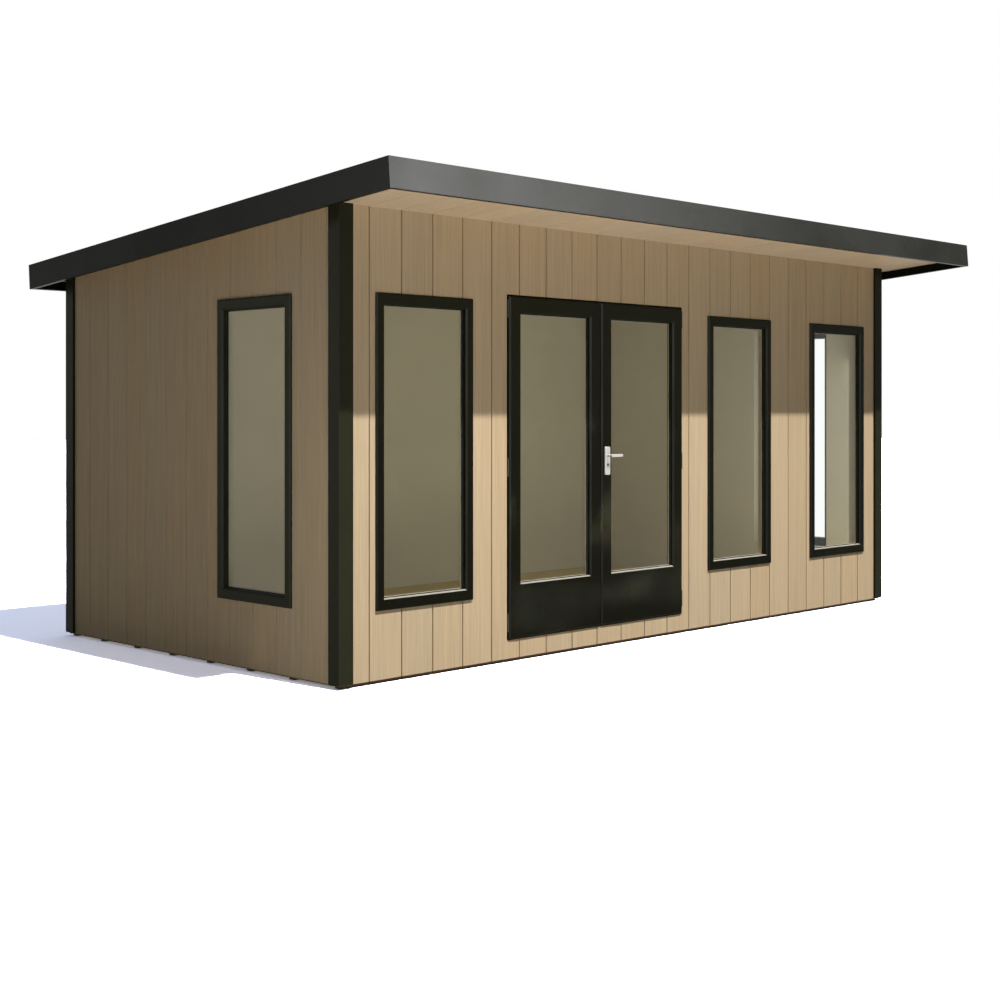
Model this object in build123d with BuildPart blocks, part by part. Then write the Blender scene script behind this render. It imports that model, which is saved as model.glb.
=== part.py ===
from build123d import *
import math
import os

# Garden office pod: a board-clad cabin with a roof that falls to the back, five fixed windows and a
# pair of glazed doors. Sizes are in millimetres. X runs along the front to the right, Y to the back
# and Z up. The origin is on the ground, under the middle of the roof's plan.

# Walls
WIDTH = 5175.0          # along the front, over the boards
DEPTH = 2833.0          # front to back, over the boards
WALL_T = 105.0          # boards, studs and inner lining together
BOARD_T = 20.0          # the outer boards alone
BOARD_FOOT = 15.0       # clear height under the boards

# Floor
BEARER_W = 47.0
BEARER_H = 73.0
BEARER_PITCH = 400.0
DECK_T = 22.0

# Roof, with its depths measured square to the slope
SLOPE = 4.66            # degrees, falling to the back
ROOF_FRONT_TOP = 2696.0
OVERHANG_FRONT = 639.0
OVERHANG_BACK = 155.0
OVERHANG_SIDE = 200.0
COVERING_T = 5.0
CORE_T = 78.0
LINING_T = 12.0         # soffit and ceiling boards
FASCIA_DEPTH = 158.0
FASCIA_T = 16.0
LIP_T = 3.0             # the fascia's top lip, which laps over the covering
LIP_W = 45.0
FLANGE_T = 4.0          # the fascia's bottom flange
FLANGE_W = 26.0

# Corner posts: angle trims over the boards
POST_T = 17.0
POST_REACH = 76.0       # onto each face, from the corner of the boards
POST_FOOT = 24.0
POST_EDGE_R = 3.0

# Windows
WINDOW_W = 700.0
WINDOW_H = 1700.0
WINDOW_SILL = 391.0
FRAME_PROUD = 15.0      # stands out from the boards
FRAME_DEPTH = 53.0      # from its face to its back, inside the wall
FRAME_SIDE = 56.0       # width of the frame's face at the sides
FRAME_RAIL = 62.0       # width of the frame's face at the top and bottom
FRAME_ARRIS = 6.0
FRAME_BEVEL = 9.0
WINDOW_GLASS_IN = 16.0  # from the face of the boards in to the glass
WINDOW_GLASS_T = 14.0
GLASS_BITE = 12.0       # how far a pane goes into its frame
LEFT_WINDOW_IN = 587.0      # from the left corner of the boards to the front left window's middle
RIGHT_WINDOW_IN = 576.5     # from the right corner of the boards to the front right window's middle
MIDDLE_WINDOW_SHIFT = 105.0  # towards the doors, from halfway between them and the right window
SIDE_WINDOW_IN = 765.5      # from the front of the boards to a side window's middle

# Doors
DOOR_CENTRE = 2003.5    # from the left corner of the boards
LEAF_W = 781.0
LEAF_H = 1988.0
LEAF_T = 44.0
LEAF_FOOT = 136.0
LEAF_PROUD = 17.0
MEETING_GAP = 7.0
JAMB_GAP = 10.0         # between a leaf and the wall beside or above it
STILE_W = 95.0
TOP_RAIL_H = 96.0
BOTTOM_PANEL_H = 316.0
LEAF_ARRIS = 9.0
LEAF_BEVEL = 10.0
LEAF_GLASS_IN = 27.0    # from the face of the leaf in to the glass
LEAF_GLASS_T = 12.0
SILL_GAP = 5.0          # under the leaves
SILL_T = 3.0
LINER_T = 2.5           # the thin face of the door frame beside a leaf
STOP_GAP = 5.0          # between a closed leaf and its stop
STOP_LAP = 15.0         # how far a stop reaches behind the leaf

# Hinges
HINGE_H = 105.0
HINGE_LOW = 94.0        # from the leaf's foot up to the middle of its lowest hinge
HINGE_HIGH = 72.0       # from the leaf's top down to the middle of its highest hinge
KNUCKLE_R = 4.0
PIN_R = 2.0
PIN_PLAY = 0.3
KNUCKLE_PLAY = 0.5
HINGE_OUT = 5.0         # from the leaf's edge out to the pin
HINGE_IN = 12.0         # from the leaf's face in to the pin
HINGE_PLATE_T = 2.0
HINGE_PLATE_END = 3.0   # between a plate's end and the back of the leaf
HINGE_CLEAR = 1.0

# Lever handle
PLATE_W = 48.0
PLATE_H = 174.0
PLATE_T = 8.0
PLATE_R = 9.0
PLATE_ARRIS = 2.0
PLATE_RISE = 1013.5     # the plate's middle above the leaf's foot
HANDLE_IN = 45.0        # from the leaf's meeting edge in to the spindle
LEVER_RISE = 1045.0     # the spindle above the leaf's foot
LEVER_REACH = 96.0
LEVER_H = 19.0
LEVER_T = 11.0
LEVER_OUT = 40.0        # from the leaf's face out to the lever's near side
LEVER_EDGE_R = 3.5
SPINDLE_R = 6.0
SPINDLE_PLAY = 0.5
LOCK_DROP = 56.0        # from the spindle down to the lock barrel
LOCK_R = 8.5
LOCK_PROUD = 2.0
KEYWAY_W = 2.5
KEYWAY_H = 9.0
KEYWAY_DEPTH = 4.0

# Lines that the pieces share
slope_sin = math.sin(math.radians(SLOPE))
slope_cos = math.cos(math.radians(SLOPE))
fascia_lean = FASCIA_DEPTH * slope_sin
FRONT = (OVERHANG_FRONT + fascia_lean - DEPTH - OVERHANG_BACK) / 2
BACK = FRONT + DEPTH
LEFT = -WIDTH / 2
RIGHT = WIDTH / 2
FLOOR = BEARER_H + DECK_T
MIDDLE_Y = (FRONT + BACK) / 2
SKY = 2 * ROOF_FRONT_TOP

ROOF = Plane(
    origin=(0, FRONT - OVERHANG_FRONT, ROOF_FRONT_TOP),
    x_dir=(1, 0, 0),
    z_dir=(0, slope_sin, slope_cos),
)
roof_half = WIDTH / 2 + OVERHANG_SIDE
roof_run = (OVERHANG_FRONT + DEPTH + OVERHANG_BACK) / slope_cos
CORE_TOP = ROOF.offset(-LIP_T - COVERING_T)
CORE_UNDER = CORE_TOP.offset(-CORE_T)
LINING_UNDER = CORE_UNDER.offset(-LINING_T)

door_x = LEFT + DOOR_CENTRE
left_hinge_edge = door_x - MEETING_GAP / 2 - LEAF_W
right_hinge_edge = door_x + MEETING_GAP / 2 + LEAF_W
doorway_left = left_hinge_edge - JAMB_GAP
doorway_right = right_hinge_edge + JAMB_GAP
doorway_width = doorway_right - doorway_left
doorway_top = LEAF_FOOT + LEAF_H + JAMB_GAP
doorstep = LEAF_FOOT - SILL_GAP - SILL_T
leaf_front = FRONT - LEAF_PROUD
leaf_back = leaf_front + LEAF_T
stop_front = leaf_back + STOP_GAP
stop_depth = FRONT + WALL_T - stop_front
stop_rise = SILL_GAP + STOP_LAP
stop_reach = JAMB_GAP + STOP_LAP

window_z = WINDOW_SILL + WINDOW_H / 2
side_window_y = FRONT + SIDE_WINDOW_IN
left_window_x = LEFT + LEFT_WINDOW_IN
right_window_x = RIGHT - RIGHT_WINDOW_IN
halfway_x = (doorway_right + right_window_x - WINDOW_W / 2) / 2
middle_window_x = halfway_x - MIDDLE_WINDOW_SHIFT


def front_face(x):
    """The plane of the boards at a front window's middle."""
    return Plane(origin=(x, FRONT, window_z), x_dir=(1, 0, 0), z_dir=(0, -1, 0))


window_faces = {
    "front_left": front_face(left_window_x),
    "front_middle": front_face(middle_window_x),
    "front_right": front_face(right_window_x),
    "left": Plane(origin=(LEFT, side_window_y, window_z), x_dir=(0, -1, 0), z_dir=(-1, 0, 0)),
    "right": Plane(origin=(RIGHT, side_window_y, window_z), x_dir=(0, 1, 0), z_dir=(1, 0, 0)),
}

os.makedirs("parts", exist_ok=True)


def save(name, part):
    """Label one finished piece and write it under its own name."""
    part.label = name
    export_step(part, f"parts/{name}.step")


# Floor: bearers on the ground along the width, and a deck on them between the boards
floor_length = WIDTH - 2 * BOARD_T
floor_depth = DEPTH - 2 * BOARD_T
bearer_count = int((floor_depth - 2 * BEARER_W) // BEARER_PITCH) + 1
first_bearer = FRONT + BOARD_T + BEARER_W / 2
last_bearer = BACK - BOARD_T - BEARER_W / 2

with BuildPart() as floor_bearers:
    with BuildSketch():
        for number in range(bearer_count):
            with Locations((0, first_bearer + number * BEARER_PITCH)):
                Rectangle(floor_length, BEARER_W)
        with Locations((0, last_bearer)):
            Rectangle(floor_length, BEARER_W)
    extrude(amount=BEARER_H)
save("floor_bearers", floor_bearers.part)

with BuildPart() as floor_deck:
    with BuildSketch(Plane.XY.offset(BEARER_H)):
        with Locations((0, MIDDLE_Y)):
            Rectangle(floor_length, floor_depth)
    extrude(amount=DECK_T)
save("floor_deck", floor_deck.part)


# Walls: the boards hang past the floor's edge, and the rest of the wall stands on the deck
def wall(name, start, inward, length, foot=BOARD_FOOT, inner_foot=FLOOR, head=SKY, windows=()):
    """One straight stretch of wall; its section is drawn at start and run along the wall."""
    along = Vector(*inward).cross(Vector(0, 0, 1))
    with BuildPart() as stretch:
        with BuildSketch(Plane(origin=start, x_dir=inward, z_dir=along)):
            with Locations((0, foot)):
                Rectangle(BOARD_T, head - foot, align=Align.MIN)
            with Locations((BOARD_T, inner_foot)):
                Rectangle(WALL_T - BOARD_T, head - inner_foot, align=Align.MIN)
        extrude(amount=length)
        for window in windows:
            with BuildSketch(window_faces[window]):
                Rectangle(WINDOW_W, WINDOW_H)
            extrude(amount=-WALL_T, mode=Mode.SUBTRACT)
        split(bisect_by=CORE_UNDER, keep=Keep.BOTTOM)
    save(name, stretch.part)


side_length = DEPTH - 2 * WALL_T
wall(
    "front_wall_left", (LEFT, FRONT, 0), (0, 1, 0), doorway_left - LEFT,
    windows=("front_left",),
)
wall(
    "front_wall_right", (doorway_right, FRONT, 0), (0, 1, 0), RIGHT - doorway_right,
    windows=("front_middle", "front_right"),
)
wall(
    "front_wall_over_door", (doorway_left, FRONT, 0), (0, 1, 0), doorway_width,
    foot=doorway_top, inner_foot=doorway_top,
)
wall("front_wall_under_door", (doorway_left, FRONT, 0), (0, 1, 0), doorway_width, head=doorstep)
wall("back_wall", (RIGHT, BACK, 0), (0, -1, 0), WIDTH)
wall("left_wall", (LEFT, BACK - WALL_T, 0), (1, 0, 0), side_length, windows=("left",))
wall("right_wall", (RIGHT, FRONT + WALL_T, 0), (-1, 0, 0), side_length, windows=("right",))


# Corner posts
def corner_post(name, side, y, end):
    """An angle trim over one corner, cut to the slope under the soffit."""
    corner_x = side * WIDTH / 2
    outer = (corner_x + side * POST_T, y + end * POST_T)
    align_x = Align.MIN if side < 0 else Align.MAX
    align_y = Align.MIN if end < 0 else Align.MAX
    with BuildPart() as post:
        with BuildSketch(Plane.XY.offset(POST_FOOT)) as angle:
            with Locations(outer):
                Rectangle(POST_REACH + POST_T, POST_REACH + POST_T, align=(align_x, align_y))
            with Locations((0, MIDDLE_Y)):
                Rectangle(WIDTH, DEPTH, mode=Mode.SUBTRACT)
            fillet(angle.vertices().sort_by_distance((*outer, 0))[0], POST_EDGE_R)
        extrude(amount=SKY)
        split(bisect_by=LINING_UNDER, keep=Keep.BOTTOM)
    save(name, post.part)


corner_post("front_left_corner_post", -1, FRONT, -1)
corner_post("front_right_corner_post", 1, FRONT, -1)
corner_post("back_left_corner_post", -1, BACK, 1)
corner_post("back_right_corner_post", 1, BACK, 1)


# Windows: a frame in the outer part of the wall and a sealed pane held in its groove
sight_w = WINDOW_W - 2 * FRAME_SIDE
sight_h = WINDOW_H - 2 * FRAME_RAIL


def window_frame(name, face):
    """A fixed frame with an arris round its outside and a bevel down to the glass."""
    outward = Axis(face.origin, face.z_dir)
    with BuildPart() as frame:
        with BuildSketch(face.offset(FRAME_PROUD)):
            Rectangle(WINDOW_W, WINDOW_H)
        extrude(amount=-FRAME_DEPTH)
        chamfer(frame.faces().sort_by(outward)[-1].edges(), FRAME_ARRIS)
        with BuildSketch(face.offset(FRAME_PROUD)):
            Rectangle(sight_w, sight_h)
        extrude(amount=-FRAME_DEPTH, mode=Mode.SUBTRACT)
        chamfer(frame.faces().sort_by(outward)[-1].inner_wires()[0].edges(), FRAME_BEVEL)
        with BuildSketch(face.offset(-WINDOW_GLASS_IN)):
            Rectangle(sight_w + 2 * GLASS_BITE, sight_h + 2 * GLASS_BITE)
        extrude(amount=-WINDOW_GLASS_T, mode=Mode.SUBTRACT)
    save(name, frame.part)


def window_glass(name, face):
    """The pane that fills the frame's groove."""
    with BuildPart() as pane:
        with BuildSketch(face.offset(-WINDOW_GLASS_IN)):
            Rectangle(sight_w + 2 * GLASS_BITE, sight_h + 2 * GLASS_BITE)
        extrude(amount=-WINDOW_GLASS_T)
    save(name, pane.part)


for side, face in window_faces.items():
    window_frame(f"{side}_window_frame", face)
    window_glass(f"{side}_window_glass", face)

# Door frame: a thin liner beside each leaf, with the stop that the leaf closes against behind it
with BuildPart() as door_threshold:
    with BuildSketch(Plane(origin=(doorway_left, FRONT, doorstep), x_dir=(0, 1, 0), z_dir=(1, 0, 0))):
        with BuildLine():
            Polyline(
                (0, 0),
                (WALL_T, 0),
                (WALL_T, SILL_T + stop_rise),
                (WALL_T - stop_depth, SILL_T + stop_rise),
                (WALL_T - stop_depth, SILL_T),
                (0, SILL_T),
                close=True,
            )
        make_face()
    extrude(amount=doorway_width)
save("door_threshold", door_threshold.part)

with BuildPart() as door_head:
    with BuildSketch(Plane(origin=(doorway_left, FRONT, doorway_top), x_dir=(0, 1, 0), z_dir=(1, 0, 0))):
        with BuildLine():
            Polyline(
                (0, 0),
                (0, -LINER_T),
                (WALL_T - stop_depth, -LINER_T),
                (WALL_T - stop_depth, -stop_reach),
                (WALL_T, -stop_reach),
                (WALL_T, 0),
                close=True,
            )
        make_face()
    extrude(amount=doorway_width)
save("door_head", door_head.part)

liner_foot = doorstep + SILL_T
stop_foot = liner_foot + stop_rise
with BuildPart() as door_jambs:
    for edge, align in ((doorway_left, Align.MIN), (doorway_right, Align.MAX)):
        with BuildSketch(Plane.XY.offset(liner_foot)):
            with Locations((edge, FRONT)):
                Rectangle(LINER_T, WALL_T - stop_depth, align=(align, Align.MIN))
        extrude(amount=doorway_top - LINER_T - liner_foot)
        with BuildSketch(Plane.XY.offset(stop_foot)):
            with Locations((edge, stop_front)):
                Rectangle(stop_reach, stop_depth, align=(align, Align.MIN))
        extrude(amount=doorway_top - stop_reach - stop_foot)
save("door_jambs", door_jambs.part)

# Door leaves
light_w = LEAF_W - 2 * STILE_W
light_h = LEAF_H - TOP_RAIL_H - BOTTOM_PANEL_H
light_z = LEAF_FOOT + BOTTOM_PANEL_H + light_h / 2
spindle_x = door_x + MEETING_GAP / 2 + HANDLE_IN
spindle_z = LEAF_FOOT + LEVER_RISE


def leaf(name, hinge_edge, inward, spindle=False):
    """A leaf framed round one pane, with a solid lower panel; the active one is bored for a spindle."""
    middle_x = hinge_edge + inward * LEAF_W / 2
    face = Plane(origin=(middle_x, leaf_front, 0), x_dir=(1, 0, 0), z_dir=(0, -1, 0))
    with BuildPart() as door:
        with BuildSketch(face):
            with Locations((0, LEAF_FOOT + LEAF_H / 2)):
                Rectangle(LEAF_W, LEAF_H)
        extrude(amount=-LEAF_T)
        chamfer(door.faces().sort_by(Axis.Y)[0].edges(), LEAF_ARRIS)
        with BuildSketch(face):
            with Locations((0, light_z)):
                Rectangle(light_w, light_h)
        extrude(amount=-LEAF_T, mode=Mode.SUBTRACT)
        chamfer(door.faces().sort_by(Axis.Y)[0].inner_wires()[0].edges(), LEAF_BEVEL)
        with BuildSketch(face.offset(-LEAF_GLASS_IN)):
            with Locations((0, light_z)):
                Rectangle(light_w + 2 * GLASS_BITE, light_h + 2 * GLASS_BITE)
        extrude(amount=-LEAF_GLASS_T, mode=Mode.SUBTRACT)
        if spindle:
            with BuildSketch(face):
                with Locations((spindle_x - middle_x, spindle_z)):
                    Circle(SPINDLE_R + SPINDLE_PLAY)
            extrude(amount=-LEAF_T, mode=Mode.SUBTRACT)
    save(name, door.part)

    with BuildPart() as pane:
        with BuildSketch(face.offset(-LEAF_GLASS_IN)):
            with Locations((0, light_z)):
                Rectangle(light_w + 2 * GLASS_BITE, light_h + 2 * GLASS_BITE)
        extrude(amount=-LEAF_GLASS_T)
    save(f"{name}_glass", pane.part)


leaf("left_leaf", left_hinge_edge, 1)
leaf("right_leaf", right_hinge_edge, -1, spindle=True)

# Hinges: on each, the jamb half carries the end knuckles and the pin, the leaf half the middle one
pin_y = leaf_front + HINGE_IN
plate_start = pin_y + KNUCKLE_R + HINGE_CLEAR
plate_end = leaf_back - HINGE_PLATE_END
knuckle_h = (HINGE_H - 2 * KNUCKLE_PLAY) / 3
jamb_plate_out = JAMB_GAP - LINER_T
hinge_edges = ((left_hinge_edge, -1), (right_hinge_edge, 1))
hinge_rises = (HINGE_LOW, LEAF_H / 2, LEAF_H - HINGE_HIGH)
hinge_feet = [LEAF_FOOT + rise - HINGE_H / 2 for rise in hinge_rises]


def plate(edge, out, near, thickness, start, end):
    """One flat plate's plan, from near the leaf's edge outwards."""
    with Locations((edge + out * (near + thickness / 2), (start + end) / 2)):
        Rectangle(thickness, end - start)


with BuildPart() as jamb_hinges:
    for edge, out in hinge_edges:
        pin_x = edge + out * HINGE_OUT
        plate_near = jamb_plate_out - HINGE_PLATE_T
        for foot in hinge_feet:
            with BuildSketch(Plane.XY.offset(foot)):
                plate(edge, out, plate_near, HINGE_PLATE_T, plate_start, plate_end)
            extrude(amount=HINGE_H)
            for knuckle_foot in (foot, foot + HINGE_H - knuckle_h):
                with BuildSketch(Plane.XY.offset(knuckle_foot)):
                    with Locations((pin_x, pin_y)):
                        Circle(KNUCKLE_R)
                    plate(edge, out, plate_near, HINGE_PLATE_T, pin_y, plate_start)
                extrude(amount=knuckle_h)
            with BuildSketch(Plane.XY.offset(foot)):
                with Locations((pin_x, pin_y)):
                    Circle(PIN_R)
            extrude(amount=HINGE_H)
save("jamb_hinges", jamb_hinges.part)


def leaf_hinges(name, edge, out):
    """The halves of three hinges that turn with one leaf."""
    pin_x = edge + out * HINGE_OUT
    with BuildPart() as halves:
        for foot in hinge_feet:
            with BuildSketch(Plane.XY.offset(foot)):
                plate(edge, out, 0, HINGE_PLATE_T, plate_start, plate_end)
            extrude(amount=HINGE_H)
            with BuildSketch(Plane.XY.offset(foot + knuckle_h + KNUCKLE_PLAY)):
                with Locations((pin_x, pin_y)):
                    Circle(KNUCKLE_R)
                plate(edge, out, 0, HINGE_PLATE_T, pin_y, plate_start)
                with Locations((pin_x, pin_y)):
                    Circle(PIN_R + PIN_PLAY, mode=Mode.SUBTRACT)
            extrude(amount=knuckle_h)
    save(name, halves.part)


leaf_hinges("left_leaf_hinges", left_hinge_edge, -1)
leaf_hinges("right_leaf_hinges", right_hinge_edge, 1)

# Handle: a plate on each face of the right leaf, and one pair of levers on a common spindle
OUTER_FACE = Plane(origin=(spindle_x, leaf_front, 0), x_dir=(1, 0, 0), z_dir=(0, -1, 0))
INNER_FACE = Plane(origin=(spindle_x, leaf_back, 0), x_dir=(-1, 0, 0), z_dir=(0, 1, 0))

with BuildPart() as handle_plates:
    for face in (OUTER_FACE, INNER_FACE):
        outward = Axis(face.origin, face.z_dir)
        with BuildSketch(face):
            with Locations((0, LEAF_FOOT + PLATE_RISE)):
                RectangleRounded(PLATE_W, PLATE_H, PLATE_R)
        extrude(amount=PLATE_T)
        chamfer(handle_plates.faces().sort_by(outward)[-1].edges(), PLATE_ARRIS)
        with BuildSketch(face.offset(PLATE_T)):
            with Locations((0, spindle_z - LOCK_DROP)):
                Circle(LOCK_R)
        extrude(amount=LOCK_PROUD)
        with BuildSketch(face.offset(PLATE_T + LOCK_PROUD)):
            with Locations((0, spindle_z - LOCK_DROP)):
                Rectangle(KEYWAY_W, KEYWAY_H)
        extrude(amount=-KEYWAY_DEPTH, mode=Mode.SUBTRACT)
        with BuildSketch(face):
            with Locations((0, spindle_z)):
                Circle(SPINDLE_R + SPINDLE_PLAY)
        extrude(amount=PLATE_T, mode=Mode.SUBTRACT)
save("handle_plates", handle_plates.part)

with BuildPart() as door_lever:
    for face, pointing in ((OUTER_FACE, 1), (INNER_FACE, -1)):
        outward = Axis(face.origin, face.z_dir)
        with BuildSketch(face.offset(LEVER_OUT)):
            with Locations((pointing * (LEVER_REACH - LEVER_H / 2) / 2, spindle_z)):
                SlotOverall(LEVER_REACH + LEVER_H / 2, LEVER_H)
        extrude(amount=LEVER_T)
        fillet(door_lever.faces().sort_by(outward)[-1].edges(), LEVER_EDGE_R)
    with BuildSketch(OUTER_FACE.offset(LEVER_OUT)):
        with Locations((0, spindle_z)):
            Circle(SPINDLE_R)
    extrude(amount=-2 * LEVER_OUT - LEAF_T)
save("door_lever", door_lever.part)

# Roof: an insulated core with a covering on it, boards under it and a deep fascia all round
core_w = 2 * (roof_half - FASCIA_T)
core_run = roof_run - 2 * FASCIA_T


def roof_layer(name, under, thickness):
    """A flat layer of the roof that fills the space inside the fascias."""
    with BuildPart() as layer:
        with BuildSketch(under):
            with Locations((0, roof_run / 2)):
                Rectangle(core_w, core_run)
        extrude(amount=thickness)
    save(name, layer.part)


roof_layer("roof_core", CORE_UNDER, CORE_T)
roof_layer("roof_covering", CORE_TOP, COVERING_T)


def lining(name, centres, width, depth):
    """Boards under the roof core, over one or more equal rectangles of the plan."""
    with BuildPart() as boards:
        with BuildSketch(LINING_UNDER):
            with Locations((0, roof_run / 2)):
                Rectangle(core_w, core_run)
        extrude(amount=LINING_T)
        with BuildSketch():
            with Locations(*centres):
                Rectangle(width, depth)
        extrude(amount=SKY, mode=Mode.INTERSECT)
    save(name, boards.part)


soffit_side_x = (WIDTH + roof_half) / 2
lining("ceiling", [(0, MIDDLE_Y)], WIDTH - 2 * WALL_T, DEPTH - 2 * WALL_T)
lining("front_soffit", [(0, FRONT - OVERHANG_FRONT)], 2 * roof_half, 2 * OVERHANG_FRONT)
lining("back_soffit", [(0, BACK + OVERHANG_BACK)], 2 * roof_half, 2 * OVERHANG_BACK)
lining("side_soffits", [(-soffit_side_x, MIDDLE_Y), (soffit_side_x, MIDDLE_Y)], roof_half, DEPTH)


def roof_edge(name, x, y, along, inward, length):
    """A fascia with its lip and flange, mitred at both ends; x and y are its first corner."""
    start = ROOF.from_local_coords((x, y, 0))
    end = start + along * length
    with BuildPart() as edge:
        with BuildSketch(Plane(origin=start, x_dir=inward, z_dir=along)):
            with BuildLine():
                Polyline(
                    (0, 0),
                    (LIP_W, 0),
                    (LIP_W, -LIP_T),
                    (FASCIA_T, -LIP_T),
                    (FASCIA_T, FLANGE_T - FASCIA_DEPTH),
                    (FLANGE_W, FLANGE_T - FASCIA_DEPTH),
                    (FLANGE_W, -FASCIA_DEPTH),
                    (0, -FASCIA_DEPTH),
                    close=True,
                )
            make_face()
        extrude(amount=length)
        split(bisect_by=Plane(origin=start, z_dir=along - inward), keep=Keep.TOP)
        split(bisect_by=Plane(origin=end, z_dir=-along - inward), keep=Keep.TOP)
    save(name, edge.part)


roof_x = ROOF.x_dir
roof_y = ROOF.y_dir
roof_edge("front_fascia", -roof_half, 0, roof_x, roof_y, 2 * roof_half)
roof_edge("right_bargeboard", roof_half, 0, roof_y, -roof_x, roof_run)
roof_edge("back_fascia", roof_half, roof_run, -roof_x, -roof_y, 2 * roof_half)
roof_edge("left_bargeboard", -roof_half, roof_run, -roof_y, roof_x, roof_run)
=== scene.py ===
import math

import bmesh
import bpy
from bpy.props import FloatProperty, FloatVectorProperty, PointerProperty
from mathutils import Matrix, Vector


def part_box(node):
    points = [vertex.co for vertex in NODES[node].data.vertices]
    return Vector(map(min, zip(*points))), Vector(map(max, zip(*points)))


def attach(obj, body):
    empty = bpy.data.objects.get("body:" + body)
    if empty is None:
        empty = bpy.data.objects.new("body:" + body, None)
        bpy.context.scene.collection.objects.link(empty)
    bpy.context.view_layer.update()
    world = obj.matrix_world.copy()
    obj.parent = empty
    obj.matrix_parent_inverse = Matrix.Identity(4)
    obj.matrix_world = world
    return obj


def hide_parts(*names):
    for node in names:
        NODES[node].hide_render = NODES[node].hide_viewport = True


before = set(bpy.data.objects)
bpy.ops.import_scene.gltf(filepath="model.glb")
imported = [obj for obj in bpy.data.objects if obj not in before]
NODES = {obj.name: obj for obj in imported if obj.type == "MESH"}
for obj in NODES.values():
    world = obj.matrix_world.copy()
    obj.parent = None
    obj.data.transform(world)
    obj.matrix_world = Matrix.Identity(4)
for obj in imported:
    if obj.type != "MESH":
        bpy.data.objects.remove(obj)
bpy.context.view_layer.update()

bl_info = {
    "name": "Garden Office Pod",
    "version": (1, 0, 0),
    "blender": (4, 5, 0),
    "location": "3D View > Sidebar > Pod",
    "description": "Boards, lining, seals, screws and finishes round the packed frame of a garden office pod",
    "category": "Object",
}

# Metres throughout, in the frame's own axes: X along the front to the right, Y to the back, Z up.
X, Y, Z = Vector((1, 0, 0)), Vector((0, 1, 0)), Vector((0, 0, 1))

FRONT_WALL = ("front_wall_left", "front_wall_right", "front_wall_over_door", "front_wall_under_door")
POSTS = [f"{end}_{side}_corner_post" for end in ("front", "back") for side in ("left", "right")]
FRONT_WINDOWS = ("front_left", "front_middle", "front_right")
WINDOWS = FRONT_WINDOWS + ("left", "right")
LEAVES = ("left_leaf", "right_leaf")
EDGES = ["front_fascia", "back_fascia", "left_bargeboard", "right_bargeboard"]
DARK = [*(f"{name}_window_frame" for name in WINDOWS), *POSTS, *LEAVES, "door_jambs", "door_head", "door_threshold"]

# Lines read from the frame
left_x, front_y, board_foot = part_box("front_wall_left")[0]
right_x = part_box("front_wall_right")[1].x
back_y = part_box("back_wall")[1].y
deck_low, deck_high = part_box("floor_deck")
board_t = deck_low.x - left_x
wall_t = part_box("front_wall_left")[1].y - front_y
front_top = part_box("front_wall_left")[1].z
roof_fall = (front_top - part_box("back_wall")[1].z) / (back_y - wall_t - front_y)
roof_angle = math.atan(roof_fall)
along_roof = Vector((0, 1, -roof_fall))


def wall_top(y):
    """Height at which the walls meet the underside of the roof's core."""
    return front_top - roof_fall * (y - front_y)


def linear(red, green, blue):
    """A colour as it looks on the object, 0 to 255, in the linear values that shaders take."""
    def channel(value):
        value /= 255
        return value / 12.92 if value <= 0.04045 else ((value + 0.055) / 1.055) ** 2.4
    return (channel(red), channel(green), channel(blue), 1.0)


# Settings

def length(name, description, default):
    return FloatProperty(name=name, description=description, default=default, subtype="DISTANCE", unit="LENGTH")


def colour(name, description, *default):
    return FloatVectorProperty(
        name=name, description=description, default=linear(*default), size=4, min=0, max=1, subtype="COLOR"
    )


class PodSizes(bpy.types.PropertyGroup):
    """Sizes of the boards, laps, seals and screws."""

    board_pitch: length("Board pitch", "From one joint between wall or soffit boards to the next", 0.223)
    front_first: length("First front joint", "From the left corner to the first joint of the front wall", 0.197)
    side_first: length("First side joint", "From the front corner to the first joint of a side wall", 0.115)
    soffit_first: length("First soffit joint", "From the left corner of the walls to a joint of the soffit", 0.187)
    joint_mouth: length("Joint mouth", "Width of the V at a wall joint, on the face of the boards", 0.009)
    joint_slot: length("Joint slot", "Width of the gap at the foot of the V", 0.006)
    joint_depth: length("Joint depth", "How far a wall joint goes into the boards", 0.014)
    soffit_mouth: length("Soffit joint mouth", "Width of the V at a soffit joint", 0.007)
    soffit_depth: length("Soffit joint depth", "How far a soffit joint goes into the boards", 0.008)
    # The drip's cut face is also painted dark as shade, in the boards' finish.
    drip: length("Drip", "Size of the cut along the foot of the wall boards", 0.007)
    floor_pitch: length("Floor board pitch", "From one joint of the floor to the next", 0.14)
    floor_mouth: length("Floor joint mouth", "Width of the V at a floor joint", 0.004)
    lap_pitch: length("Lap pitch", "From one lap of the roof sheet to the next", 0.93)
    lap_width: length("Lap width", "Width of a lap of the roof sheet", 0.08)
    lap_height: length("Lap height", "How far a lap stands above the roof sheet", 0.0025)
    # The strip under the front panes is pale paint over the dark frame's bevel and sill, and is partly a painted
    # highlight where the sun falls.
    bead_and_highlight_thickness: length("Bead thickness", "Thickness of the bright strip under each front pane", 0.0008)
    inner_bead_width: length("Inner bead width", "Width of the pale bead behind each pane, beside it", 0.007)
    inner_bead_side: length("Inner bead depth, left", "Depth of the bead behind the left window's pane", 0.018)
    inner_bead_front: length("Inner bead depth", "Depth of the bead behind every other pane", 0.005)
    seal_radius: length("Seal radius", "Half the width of the black seal round each pane", 0.003)
    screw_radius: length("Screw radius", "Half the width of a screw head", 0.0042)


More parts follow.
